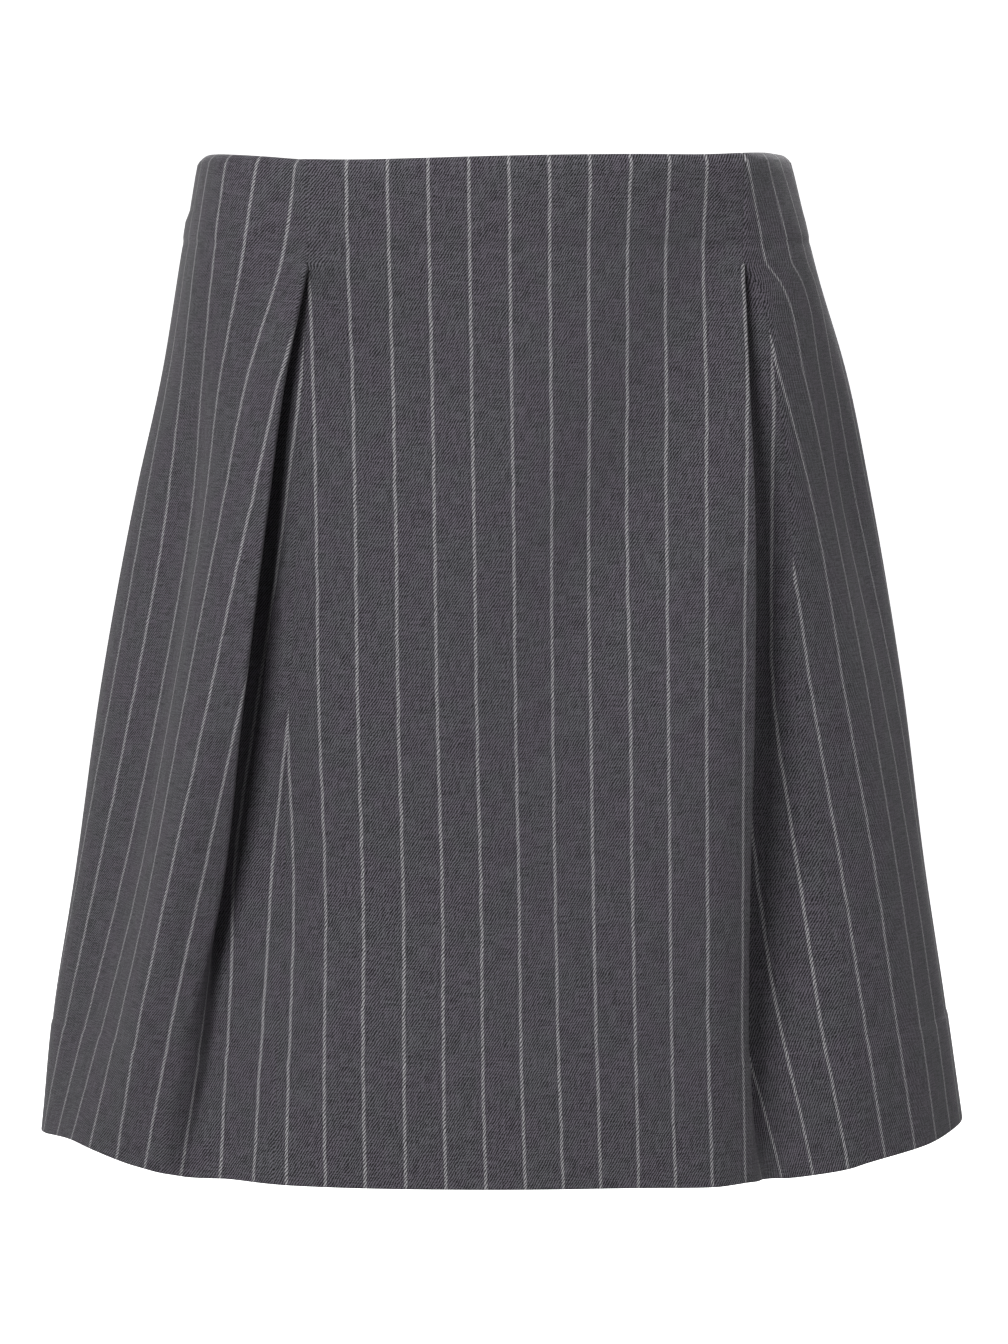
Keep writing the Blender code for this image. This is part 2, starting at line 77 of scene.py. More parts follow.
# The waist edge rolls in, and the turned edge draws the cloth in beside the side seams
WAIST_ROLL = 2.6
WAIST_ROLL_DEPTH = 4.6
SIDE_STEP = 1.1
SIDE_STEP_DROP = 27.0
SIDE_STEP_FADE = 3.5
SIDE_STEP_REACH = 38.0

# Where creases fade out: beside a pleat's fold, and above the apex
FOLD_FADE = 14.0
SEAM_FADE = 25.0

# The pinstripe, and the cut cloth that lies on each millimetre of the form
STRIPE_PITCH = 17.4
STRIPE_WIDTH = 1.3
STRIPE_CORE = 0.3 * STRIPE_WIDTH
STRIPE_RIM = 0.75 * STRIPE_WIDTH
STRIPE_WANDER = 0.7
CLOTH_SHARE = 0.983

# Twill lines across and along the cut cloth, for each millimetre, how unevenly they run, the weight of
# the slow part of that, and how soft a line's edges are
WOOL_LINES = (0.82, -0.57, 0.0)
WOOL_UNEVEN = 0.5
TAPE_LINES = (0.9, 1.6, 0.0)
TAPE_UNEVEN = 0.15
SLOW_SHARE = 2.2
LINE_SOFT = 0.75

# How a noise is drawn out along the cloth, along the warp and along the weft
QUICK_STRETCH = (1.0, 0.45, 1.0)
YARN_STRETCH = (1.0, 0.8, 1.0)
WARP_STRETCH = (1.0, 0.06, 1.0)
WEFT_STRETCH = (0.06, 1.0, 1.0)
WEFT_PLACE = (300.0, 0.0, 0.0)

# The concealed zip inside the centre-back seam: its height, its tapes, and the coil on their edges
ZIP_TOP = 4.0
ZIP_END = 190.0
ZIP_ROWS = 75
TAPE_WIDTH = 11.0
TAPE_THICK = 0.7
TAPE_DEPTH = 1.3
TAPE_COLUMNS = 7
TAPE_GAP = 0.95
COIL_PITCH = 1.5
COIL_WIRE = 0.7
COIL_WIDTH = 2.6
COIL_EDGE = 0.35
COIL_END = 16.0
COIL_ROUND = 0.28 * COIL_WIRE

# Colours, as linear reflectances, and how much each part of the weave lightens the wool
WOOL_DARK = (0.0036, 0.0034, 0.0042, 1.0)
WOOL_LIGHT = (0.143, 0.135, 0.155, 1.0)
WOOL_WARM = (1.02, 0.966, 1.026, 1.0)
WOOL_COOL = (0.976, 1.012, 0.992, 1.0)
STRIPE_COLOUR = (0.43, 0.42, 0.44, 1.0)
LINE_SHARE = 0.48
FLECK_SHARE = 0.31
YARN_SHARE = 0.21
TAPE_DARK = (0.02, 0.019, 0.022, 1.0)
TAPE_LIGHT = (0.07, 0.067, 0.075, 1.0)
METAL_COATED = (0.05, 0.05, 0.055, 1.0)
METAL_RUBBED = (0.13, 0.125, 0.12, 1.0)
PAPER_LOW = (0.9, 0.9, 0.9, 1.0)
PAPER_HIGH = (0.96, 0.96, 0.96, 1.0)

# Studio, in metres and watts: the sweep's profile (back, up), and each lamp's name, power, size and place
SWEEP_WIDTH = 14.0
SWEEP_LINE = [(-4.0, -1.0), (3.0, -1.0), (4.2, -0.9), (5.0, -0.5), (5.4, 0.2), (5.5, 1.2), (5.5, 4.0)]
LAMPS = [
    ("key", 87.5, 0.9, (-1.2, -2.13, 1.52)),
    ("edge", 26.0, 1.1, (2.37, -0.64, 1.5)),
    ("back_key", 120.0, 1.2, (0.75, 2.6, 1.7)),
]
LAMP_AIM = (0.0, 0.0, -0.2)
ROOM_STRENGTH = 0.075
SEEN_STRENGTH = 1.0
WHITE = (1.0, 1.0, 1.0, 1.0)
PAPER_GLOW = 1.1

# The photograph's camera, level with the waist and tilted down: the picture's width, the focal length
# and the rise of the horizon over the picture's middle in pixels, then turns and millimetres
PHOTO_WIDTH = 1008
SENSOR_WIDTH = 36.0
FOCAL_PIXELS = 5365
HORIZON_RISE = 515
CAMERA_PITCH = math.atan(HORIZON_RISE / FOCAL_PIXELS)
CAMERA_TURN = math.radians(7.0)
CAMERA_DISTANCE = 2390.0
CAMERA_AIM_X = 8.0
CAMERA_REACH_M = 50.0

# Heights, as drops below the waist edge in millimetres
DROPS = {
    "waist": 0.0,
    "apex": 45.0,
    "release": 54.0,
    "upper": 95.0,
    "thigh": 150.0,
    "middle": 235.0,
    "lower": 320.0,
    "calf": 380.0,
    "hem": 434.0,
}
# The pleats stand open from here down. Guides rise near the waist and fall near the hem.
OPENING = 47.0
RISE_DEPTH = 60.0
FALL_START = 280.0

# Back: half depths behind the side seams, and the soft flutes of the hem
SIDE_SEAM_Y = 4.0
BACK_DEPTH_WAIST = 86.0
BACK_DEPTH_FLARE = 50.0
BACK_FLARE_POWER = 0.9
BACK_FULLNESS = 0.92
BACK_STEPS = 12
BACK_DIP = 6.0
BACK_DIP_DEPTH = 80.0
FLUTE_SIZE = 0.03
FLUTE_COUNT = 6
FLUTE_PHASE = 0.6

# Crispness of the pleat edges: the reach of the bend, sharp at the top and soft at the hem
CRISP_REACH = 2.4
SOFT_REACH = 9.0
SOFT_START = 150.0
SOFT_POWER = 1.3
LEAD_MOST = 0.45

CURVE_STEPS = 16

Guide = namedtuple("Guide", "name rise fall at")


def guide(name, rise, fall, **at):
    """A line down the cloth: its rise at the waist, its fall at the hem, and (x, y) at named heights."""
    return Guide(name, rise, fall, {height: np.array(place, float) for height, place in at.items()})


# The front, from the wearer's right side seam to the left one, in millimetres. Guides named in
# PLEATED exist only from the opening down, where the pleats are released.
FRONT = [
    guide("side_right", 0, -2.4,
          waist=(-128.5, 4), apex=(-136, 4), upper=(-144.5, 4), thigh=(-157, 4), middle=(-173, 4),
          lower=(-185, 4), calf=(-194.5, 4), hem=(-199, 6)),
    guide("right_outer", 1, -2.2,
          waist=(-125.5, -36), apex=(-134, -39), upper=(-140, -26), thigh=(-150, -20), middle=(-166, -20),
          lower=(-181.5, -16), calf=(-191.5, -14), hem=(-199.5, -10)),
    guide("right_hollow", 0.9, -3.8,
          waist=(-119.5, -56), apex=(-126, -60), upper=(-129.5, -48), thigh=(-132.5, -42),
          middle=(-147, -42), lower=(-165.5, -38), calf=(-180.5, -34), hem=(-193.5, -27)),
    guide("right_turn", 0.2, -4.8,
          waist=(-106.8, -68.4), apex=(-114.5, -72), upper=(-123, -63), thigh=(-129.5, -60),
          middle=(-143, -57), lower=(-159, -53), calf=(-174, -49), hem=(-188, -42)),
    guide("right_stripe", -1.3, -3.4,
          waist=(-90.2, -76.6), apex=(-97.5, -79), upper=(-112, -76), thigh=(-123, -75), middle=(-140, -72),
          lower=(-156, -68), calf=(-169, -64), hem=(-181, -57)),
    guide("right_ridge", -1.3, -0.9,
          waist=(-89, -77.5), apex=(-92.5, -81), upper=(-105.5, -83.5), thigh=(-114.5, -85.5),
          middle=(-130, -90), lower=(-149, -87), calf=(-161, -83.5), hem=(-167, -79)),
    guide("right_fold", -1.3, 1.8,
          release=(-89, -85), upper=(-97.5, -86), thigh=(-105.5, -90), middle=(-116.5, -95),
          lower=(-126, -89), calf=(-143, -89.5), hem=(-153, -89.5)),
    guide("right_behind", -1.3, 3.2,
          release=(-88, -82.5), upper=(-96.5, -83.5), thigh=(-104.5, -87), middle=(-116, -90.5),
          lower=(-126.5, -84), calf=(-136.5, -85.5), hem=(-147, -88)),
    guide("right_inner", -1.3, 4.6,
          release=(-111.5, -69.5), upper=(-114, -69.5), thigh=(-119.5, -74.5), middle=(-122.5, -79),
          lower=(-129.5, -77), calf=(-130.5, -77.5), hem=(-141, -87)),
    guide("right_return", -1.3, 4.8,
          release=(-110.5, -67.5), upper=(-112.5, -67), thigh=(-118, -72), middle=(-120.5, -75),
          lower=(-127, -74), calf=(-127, -76.5), hem=(-136, -88.5)),
    guide("right_under", -1.3, 4.4,
          release=(-98, -73.5), upper=(-99.5, -70.5), thigh=(-103, -67.5), middle=(-107, -68),
          lower=(-117, -73.5), calf=(-119.5, -83.5), hem=(-122, -94.5)),
    guide("seam_right", -1.3, 4.2,
          waist=(-86.5, -79), apex=(-87, -82), release=(-87, -79.5), upper=(-88.5, -77.5), thigh=(-91, -79),
          middle=(-95, -81), lower=(-97, -82), calf=(-101.5, -96), hem=(-105.5, -111)),
    guide("right_shoulder", -1.5, 3.8,
          waist=(-71, -84), apex=(-70.5, -87.5), upper=(-72, -84.5), thigh=(-76, -88.5),
          middle=(-79.5, -96.5), lower=(-80, -102), calf=(-80, -114), hem=(-81, -122.5)),
    guide("front_right", -1.3, 3.1,
          waist=(-53, -89), apex=(-52.5, -91.5), upper=(-51, -92), thigh=(-50.5, -97), middle=(-50.5, -106),
          lower=(-49.5, -115), calf=(-50.5, -125), hem=(-50.5, -134)),
    guide("centre", 0.4, 1.7,
          waist=(-1.5, -95), apex=(-1.5, -99), upper=(-1.5, -104), thigh=(-1.5, -111), middle=(-2, -122),
          lower=(-2, -134), calf=(-2, -143), hem=(-1, -150)),
    guide("front_left", 0.9, 3.2,
          waist=(51, -92), apex=(49.5, -95), upper=(49.5, -100), thigh=(49, -106), middle=(48.5, -117),
          lower=(48, -128), calf=(48, -135), hem=(48, -142)),
    guide("left_shoulder", 0.4, 4.3,
          waist=(84, -84), apex=(83.5, -88), upper=(84.3, -95.5), thigh=(82.9, -103.5), middle=(80.7, -115),
          lower=(79.7, -125), calf=(79.2, -132.5), hem=(80.2, -140)),
    guide("left_fold", 1.3, 4.2,
          release=(102, -85.5), upper=(102.8, -92.5), thigh=(104.5, -99.5), middle=(103.2, -107),
          lower=(100.1, -114.8), calf=(98.3, -120.5), hem=(97.5, -130.5)),
    guide("left_behind", 1.3, 5.2,
          release=(102, -83), upper=(102.8, -90), thigh=(104, -96.5), middle=(103.7, -103.5),
          lower=(100.6, -110), calf=(100.3, -115), hem=(102.2, -124)),
    guide("left_inner", 1.3, 6.2,
          release=(72.5, -86), upper=(75.5, -90.5), thigh=(81, -95.5), middle=(83.5, -99),
          lower=(87, -91.5), calf=(91.5, -101.5), hem=(106.5, -114)),
    guide("left_return", 1.3, 6.8,
          release=(73, -83.5), upper=(76, -88), thigh=(82, -93), middle=(84.5, -95.5), lower=(88.5, -88),
          calf=(93, -97.5), hem=(112, -108.5)),
    guide("left_under", 1.3, 8.4,
          release=(88, -81.5), upper=(94, -82.5), thigh=(97, -83), middle=(99, -82), lower=(113, -81),
          calf=(112, -92.5), hem=(122, -102)),
    guide("left_show", 1.3, 6.4,
          release=(99, -79.5), upper=(107, -79.5), thigh=(114.5, -75.5), middle=(116.5, -75.5),
          lower=(130, -80.5), calf=(139, -89), hem=(147, -97)),
    guide("seam_left", 1.3, 4.0,
          waist=(102, -78), apex=(102, -83), release=(107.5, -80.5), upper=(116.5, -81), thigh=(124, -78),
          middle=(126.5, -80), lower=(140, -83), calf=(148, -90), hem=(155, -95)),
    guide("left_near", 1.5, 0.6,
          waist=(111.5, -66), apex=(112.5, -77), upper=(124, -75), thigh=(134.5, -71), middle=(150.5, -70),
          lower=(164.5, -74), calf=(172.5, -78), hem=(182, -80)),
    guide("left_turn", 1.6, -0.4,
          waist=(118, -54.5), apex=(127, -65), upper=(137.5, -60), thigh=(146.5, -54), middle=(163.5, -56),
          lower=(177.5, -60), calf=(186, -64), hem=(194, -65)),
    guide("left_hollow", 1, -2.2,
          waist=(127, -36), apex=(137.5, -46), upper=(149, -38), thigh=(156, -33), middle=(175.5, -33),
          lower=(190.5, -38), calf=(199.5, -42), hem=(206.5, -44)),
    guide("left_outer", 0.3, -2.3,
          waist=(133.5, -18), apex=(143.5, -22), upper=(158, -20), thigh=(170.5, -12), middle=(186, -14),
          lower=(196.5, -18), calf=(205.5, -22), hem=(213, -25)),
    guide("side_left", 0, -2,
          waist=(134.5, 4), apex=(146.5, 4), upper=(163, 4), thigh=(175.5, 6), middle=(189.5, 6),
          lower=(200, 6), calf=(209, 6), hem=(217, 6)),
]
FRONT_SEAMS = {"seam_right", "seam_left"}
PLEATED = {
    "right_fold", "right_behind", "right_inner", "right_return", "right_under", "left_fold",
    "left_behind", "left_inner", "left_return", "left_under", "left_show",
}
# A pleat turns round a pair of guides, and these get a lead on the leg before or after the pair.
LEAD_BEFORE = {"right_fold", "left_fold", "right_inner", "left_inner"}
LEAD_AFTER = {"right_behind", "left_behind", "right_return", "left_return"}


def along(heights, values, drop):
    """Cubic curve through the values at the given heights."""
    last = len(heights) - 1
    if drop >= heights[last]:
        return values[last]

    def slope(k):
        if k == 0:
            return (values[1] - values[0]) / (heights[1] - heights[0])
        if k == last:
            return (values[last] - values[last - 1]) / (heights[last] - heights[last - 1])
        before = heights[k] - heights[k - 1]
        after = heights[k + 1] - heights[k]
        back = (values[k] - values[k - 1]) / before
        ahead = (values[k + 1] - values[k]) / after
        return (back * after + ahead * before) / (before + after)

    if drop <= heights[0]:
        return values[0] + slope(0) * (drop - heights[0])
    k = max(i for i in range(last) if heights[i] <= drop)
    step = heights[k + 1] - heights[k]
    t = (drop - heights[k]) / step
    rest = values[k] * (2 * t**3 - 3 * t**2 + 1) + values[k + 1] * (3 * t**2 - 2 * t**3)
    return rest + step * (slope(k) * (t**3 - 2 * t**2 + t) + slope(k + 1) * (t**3 - t**2))


def guide_point(line, drop):
    """Where a guide passes a height. The front seams are straight to the apex and turn at the opening."""
    names = [name for name in DROPS if name in line.at]
    apex, release = DROPS["apex"], DROPS["release"]
    read_at = drop
    if line.name in FRONT_SEAMS:
        names = names[:2] if drop < apex else names[1:]
        if apex < drop < release:
            read_at = apex + max(0.0, drop - OPENING) * (release - apex) / (release - OPENING)
    x, y = along([DROPS[name] for name in names], [line.at[name] for name in names], read_at)
    rise = line.rise * max(0.0, 1.0 - drop / RISE_DEPTH)
    fall_part = max(0.0, (drop - FALL_START) / (DROPS["hem"] - FALL_START))
    return np.array([x, y, rise - drop - line.fall * min(1.0, fall_part) ** 2])


def back_points(drop):
    """The back of the ring, from the left side seam round to the right one, as a fluted half oval."""
    left = guide_point(FRONT[-1], drop)
    right = guide_point(FRONT[0], drop)
    middle_x = (left[0] + right[0]) / 2
    half_width = (left[0] - right[0]) / 2
    down = drop / DROPS["hem"]
    depth = BACK_DEPTH_WAIST + BACK_DEPTH_FLARE * down**BACK_FLARE_POWER
    points = []
    for k in range(1, BACK_STEPS):
        turn = math.pi * k / BACK_STEPS
        flute = 1 + FLUTE_SIZE * down**2 * math.cos(FLUTE_COUNT * turn + FLUTE_PHASE) * math.sin(turn)
        x = middle_x + half_width * math.cos(turn) * flute
        y = SIDE_SEAM_Y + depth * math.sin(turn) ** BACK_FULLNESS * flute
        dip = BACK_DIP * math.sin(turn) * max(0.0, 1.0 - drop / BACK_DIP_DEPTH)
        points.append(np.array([x, y, -drop - dip]))
    return points


def lead(point, neighbour, reach):
    """A point on the way to a neighbour, which keeps the bend at this one as tight as its reach."""
    leg = neighbour - point
    length = np.linalg.norm(leg[:2])
    return point + leg * min(reach, LEAD_MOST * length) / length


def ring_guides(drop):
    """The guide points round the skirt at one height, with their names."""
    released = drop >= OPENING
    lines = [line for line in FRONT if released or line.name not in PLEATED]
    points = [guide_point(line, drop) for line in lines] + back_points(drop)
    names = [line.name for line in lines]
    names += ["seam_back" if k == BACK_STEPS // 2 else f"back_{k}" for k in range(1, BACK_STEPS)]
    soft = min(1.0, max(0.0, (drop - SOFT_START) / (DROPS["hem"] - SOFT_START)))
    reach = CRISP_REACH + SOFT_REACH * soft**SOFT_POWER
    guides = []
    for k, (name, point) in enumerate(zip(names, points)):
        if name in LEAD_BEFORE:
            guides.append((name + "_lead", lead(point, points[k - 1], reach)))
        guides.append((name, point))
        if name in LEAD_AFTER:
            guides.append((name + "_lead", lead(point, points[k + 1], reach)))
    return guides


class Ring:
    """The closed curve of one height. Positions on it count guides, with fractions between them."""

    def __init__(self, drop):
        self.drop = drop
        self.released = drop >= OPENING
        guides = ring_guides(drop)
        pull = [point for _, point in guides]
        curve = []
        self.marks = {}
        for k, (name, point) in enumerate(guides):
            start = (pull[k - 1] + point) / 2
            end = (point + pull[(k + 1) % len(pull)]) / 2
            near = math.sqrt(np.linalg.norm((point - start)[:2]))
            far = math.sqrt(np.linalg.norm((end - point)[:2]))
            self.marks[name] = (k + near / (near + far)) * CURVE_STEPS
            self.marks[name + "_tip"] = (k + 1) * CURVE_STEPS
            for step in range(CURVE_STEPS):
                t = step / CURVE_STEPS
                curve.append((1 - t) ** 2 * start + 2 * t * (1 - t) * point + t**2 * end)
        self.curve = np.array(curve)

    def point(self, position):
        k = math.floor(position)
        part = position - k
        count = len(self.curve)
        return self.curve[k % count] * (1 - part) + self.curve[(k + 1) % count] * part

    def stretch(self, first, last):
        """The points from one mark round to another, and their distances along the curve."""
        start = self.marks[first]
        end = self.marks[last]
        if end <= start:
            end += len(self.curve)
        positions = [start, *range(math.floor(start) + 1, math.ceil(end)), end]
        points = np.array([self.point(position) for position in positions])
        steps = np.linalg.norm(np.diff(points[:, :2], axis=0), axis=1)
        return points, np.concatenate([[0.0], np.cumsum(steps)])


# Where the cloth of the front pieces lies on the form: millimetres across the cut cloth from one of the
# piece's own stripes, at the guides that the photograph fixes. Between them it runs evenly.
RIGHT_CLOTH = [
    ("right_hollow", -2 * STRIPE_PITCH),
    ("right_turn", -STRIPE_PITCH),
    ("right_stripe", 0.0),
    ("right_ridge", dict(waist=2.9, apex=5.9, release=8, upper=9.8, thigh=14.5, middle=19.5, lower=20,
                         calf=20, hem=22)),
    ("right_fold_tip", dict(release=15, upper=20.5, thigh=25.5, middle=37.5, lower=48, calf=45.6, hem=46)),
]
RIGHT_SEAM_CLOTH = dict(release=67.5, upper=70.5, thigh=75.5, middle=86.5, lower=93.8, calf=95.4, hem=96.6)
CENTRE_CLOTH = [
    ("front_right", -3 * STRIPE_PITCH),
    ("centre", 0.0),
    ("front_left", 3 * STRIPE_PITCH),
    ("left_shoulder", 5 * STRIPE_PITCH),
    ("left_fold_tip", dict(release=106, upper=106.2, thigh=109.5, middle=111.5, lower=110.5,
                           calf=110, hem=110.7)),
]
CENTRE_SEAM_CLOTH = dict(release=170.5, upper=174.9, thigh=182, middle=183.6, lower=184, calf=184,
                         hem=182.5)
# Above the apex: the centre piece's cloth at its first and last seams, and the width eased at the first
CENTRE_SEAM_FIRST = -85.6
CENTRE_SEAM_TOP = 103.3
SEAM_TUCK = 9.0
LEFT_SEAM_CLOTH = dict(waist=-0.3, apex=-11.5, release=-13.5, upper=-19.8, thigh=-30.3, middle=-42.3,
                       lower=-43.2, calf=-44.3, hem=-45.7)
BACK_SEAM_TILT = 0.25
PLEAT_CLOTH = {"right": (RIGHT_CLOTH, RIGHT_SEAM_CLOTH), "left": (CENTRE_CLOTH, CENTRE_SEAM_CLOTH)}

# Columns of the shells: distances from a fold edge and from a seam, the most that these take of a
# stretch, and the usual column
FOLD_STEPS = (0.0, 0.3, 0.6, 1.0, 1.4, 1.9, 2.6, 3.8)
SEAM_STEPS = (0.0, 0.4, 0.9, 1.6, 2.6)
CLOSE_SHARE = 0.4
COLUMN = 2.8
COLUMNS_LEAST = 3

# Rows of the shells: the usual row, and distances from the edges, the opening and the release
ROW = 5.0
EDGE_ROWS = (0.0, 0.8, 2.0, 3.5)
OPENING_ROWS = (0.0, 2.0, 4.0)
RELEASE_ROWS = (0.0, 3.5)

# Soft creases of the cloth: the piece, where its middle is (cloth millimetres across, drop),
# its half length and half width, its depth (negative is a trough) and its slant (across for each down)
Crease = namedtuple("Crease", "piece across drop half_length half_width depth slant")
CREASES = [
    Crease("front_centre", 50, 150, 80, 34, -5.0, -0.37),
    Crease("front_centre", 10, 310, 130, 40, -6.5, -0.10),
    Crease("front_centre", 92, 290, 150, 30, 2.6, -0.03),
    Crease("front_centre", 82, -15, 36, 46, 4.0, 0.0),
    Crease("front_side_left", -21, -15, 36, 46, 4.0, 0.0),
    Crease("front_centre", -28, 150, 120, 22, 0.7, 0.05),
    Crease("front_centre", 60, 92, 34, 20, -0.7, -0.35),
    Crease("front_centre", -40, 330, 90, 20, -0.6, 0.04),
    Crease("front_side_right", -40, 130, 95, 12, -0.7, -0.10),
    Crease("front_side_right", -12, 230, 120, 11, 0.6, -0.05),
    Crease("front_side_right", -58, 300, 90, 13, 0.6, -0.08),
    Crease("front_side_left", 22, 120, 80, 12, -0.7, 0.10),
    Crease("front_side_left", 38, 250, 110, 13, 0.6, 0.06),
    Crease("front_side_left", 6, 330, 80, 12, -0.6, 0.10),
    Crease("back_left", -60, 150, 130, 24, -1.0, -0.12),
    Crease("back_left", -110, 260, 120, 26, 0.9, -0.16),
    Crease("back_left", -30, 320, 90, 20, -0.7, 0.04),
    Crease("back_right", 55, 170, 120, 24, -0.9, 0.12),
    Crease("back_right", 118, 240, 130, 26, 1.0, 0.15),
    Crease("back_right", 24, 90, 60, 18, 0.6, 0.02),
]

Panel = namedtuple("Panel", "name first last pleat")
PANELS = [
    Panel("front_side_right", "side_right", "seam_right", "right"),
    Panel("front_centre", "seam_right", "seam_left", "left"),
    Panel("front_side_left", "seam_left", "side_left", None),
    Panel("back_left", "side_left", "seam_back", None),
    Panel("back_right", "seam_back", "side_right", None),
]
Stretch = namedtuple("Stretch", "first last count start_steps end_steps")


def at_height(value, drop):
    """A named-height table read at one height, or a plain number."""
    if not isinstance(value, dict):
        return value
    names = [name for name in DROPS if name in value]
    return along([DROPS[name] for name in names], [value[name] for name in names], drop)


def row_drops():
    """Heights of the shells' rows, close at the edges, the turned cloth, the opening and the release."""
    hem = DROPS["hem"]
    marks = [DROPS["apex"], *EDGE_ROWS, *(hem - step for step in EDGE_ROWS)]
    for turn in (FACING_DEPTH, hem - HEM_DEPTH):
        marks += [turn + step for step in (-TURN_FADE, -TURN_FADE / 2, 0.0, TURN_FADE / 2, TURN_FADE)]
    marks += [OPENING + step for step in OPENING_ROWS]
    marks += [DROPS["release"] + step for step in RELEASE_ROWS]
    for drop in np.arange(EDGE_ROWS[-1] + ROW, hem - EDGE_ROWS[-1], ROW):
        if min(abs(drop - mark) for mark in marks) > ROW / 2:
            marks.append(drop)
    return sorted(marks)


def stations(length, count, start_steps, end_steps):
    """Distances of the columns along a stretch: close at its ends, even between."""
    scale = min(1.0, CLOSE_SHARE * length / (start_steps[-1] + end_steps[-1]))
    start = [step * scale for step in start_steps]
    end = [length - step * scale for step in reversed(end_steps)]
    return [*start[:-1], *np.linspace(start[-1], end[0], count + 1), *end[1:]]


def panel_stretches(panel):
    """A plain panel is one stretch of the ring. A pleated one is its main part and two layers under it."""

    def columns(first, last):
        longest = max(ring_at(DROPS[height]).stretch(first, last)[1][-1] for height in ("upper", "hem"))
        return max(COLUMNS_LEAST, round(longest / COLUMN))

    if panel.pleat is None:
        return [Stretch(panel.first, panel.last, columns(panel.first, panel.last), SEAM_STEPS, SEAM_STEPS)]
    fold = panel.pleat + "_fold_tip"
    inner = panel.pleat + "_inner_tip"
    return [
        Stretch(panel.first, fold, columns(panel.first, fold), SEAM_STEPS, FOLD_STEPS),
        Stretch(fold, inner, columns(fold, inner), FOLD_STEPS, FOLD_STEPS),
        Stretch(inner, panel.last, columns(inner, panel.last), FOLD_STEPS, SEAM_STEPS),
    ]


def read_across(distance, anchors):
    """Cloth coordinates of distances along a stretch: even between anchors, true lengths beyond them."""
    places, values = (np.array(column, float) for column in zip(*anchors))
    across = np.interp(distance, places, values)
    across = np.where(distance < places[0], values[0] + (distance - places[0]) * CLOTH_SHARE, across)
    return np.where(distance > places[-1], values[-1] + (distance - places[-1]) * CLOTH_SHARE, across)


def mark_distance(ring, first, name):
    """How far along a stretch a guide's mark lies."""
    return ring.stretch(first, name)[1][-1] if name != first else 0.0


def cloth_of_row(ring, panel, distances):
    """Cloth coordinates of a panel's columns at one height."""
    drop = ring.drop
    if panel.name == "front_side_left":
        return distances[0] * CLOTH_SHARE + at_height(LEFT_SEAM_CLOTH, drop)
    if panel.pleat is None:
        length = distances[0][-1]
        waist = ring_at(0.0).stretch(panel.first, panel.last)[1][-1]
        tilt = BACK_SEAM_TILT * (length - waist)
        if panel.name == "back_left":
            return (distances[0] - length) * CLOTH_SHARE + STRIPE_PITCH / 2 + tilt
        return distances[0] * CLOTH_SHARE - STRIPE_PITCH / 2 - tilt
    anchors, seam_cloth = PLEAT_CLOTH[panel.pleat]
    anchored = [
        (mark_distance(ring, panel.first, name), at_height(value, drop))
        for name, value in anchors
        if name in ring.marks
    ]
    if panel.pleat == "left" and not ring.released:
        place, value = anchored[0]
        tucked = value - (place - SEAM_TUCK) * CLOTH_SHARE
        anchored = [(0.0, CENTRE_SEAM_FIRST), (SEAM_TUCK, tucked), *anchored]
        anchored.append((distances[0][-1], CENTRE_SEAM_TOP))
    cloth = [read_across(distances[0], anchored)]
    if ring.released:
        edge = cloth[0][-1]
        seam = at_height(seam_cloth, drop)
        under, back = distances[1][-1], distances[2][-1]
        inner = edge + (seam - edge) * under / (under + back)
        cloth.append(edge + (inner - edge) * distances[1][1:] / under)
        cloth.append(inner + (seam - inner) * distances[2][1:] / back)
    return np.concatenate(cloth)


RINGS = {}


def ring_at(drop):
    """The ring of a height, worked out once."""
    if drop not in RINGS:
        RINGS[drop] = Ring(drop)
    return RINGS[drop]


def read_along(points, lengths, wanted):
    """Points at wanted distances along a stretch."""
    return np.stack([np.interp(wanted, lengths, points[:, axis]) for axis in range(3)], axis=1)


def panel_row(ring, panel, stretches):
    """One height of a panel: its points, and their places across the cloth."""
    if not ring.released:
        end = "seam_" + panel.pleat if panel.pleat else panel.last
        stretches = [stretches[0]._replace(last=end)]
    row = []
    distances = []
    for k, part in enumerate(stretches):
        points, lengths = ring.stretch(part.first, part.last)
        start = seam_gap(part.first, ring.drop) if k == 0 else 0.0
        end = seam_gap(part.last, ring.drop) if part is stretches[-1] else 0.0
        span = lengths[-1] - start - end
        wanted = start + np.array(stations(span, part.count, part.start_steps, part.end_steps))
        row.append(read_along(points, lengths, wanted)[min(k, 1):])
        distances.append(wanted)
    return np.concatenate(row), cloth_of_row(ring, panel, distances)


def seam_gap(seam, drop):
    """Half the gap at a seam. The back edges stand apart at the top, where the slider's neck passes."""
    if seam != "seam_back":
        return SEAM_HALF_GAP
    fade = min(1.0, max(0.0, (MOUTH_END + MOUTH_FADE - drop) / MOUTH_FADE))
    return SEAM_HALF_GAP + (MOUTH_GAP - SEAM_HALF_GAP) * fade


def turned_share(drop):
    """How much of the doubled wall a height has: all of it on the facing and the hem turn."""
    facing = smooth_step((FACING_DEPTH + TURN_FADE / 2 - drop) / TURN_FADE)
    hem = smooth_step((drop - (DROPS["hem"] - HEM_DEPTH) + TURN_FADE / 2) / TURN_FADE)
    return max(facing, hem)


def smooth_step(x):
    """Nought to one with soft ends."""
    x = min(1.0, max(0.0, x))
    return x * x * (3 - 2 * x)


def seam_roll(drop):
    """How deep a seam's edges turn in: most above the apex, least down the skirt."""
    high = smooth_step((DROPS["release"] - drop) / SEAM_ROLL_FADE)
    return SEAM_ROLL_LOW + (SEAM_ROLL - SEAM_ROLL_LOW) * high


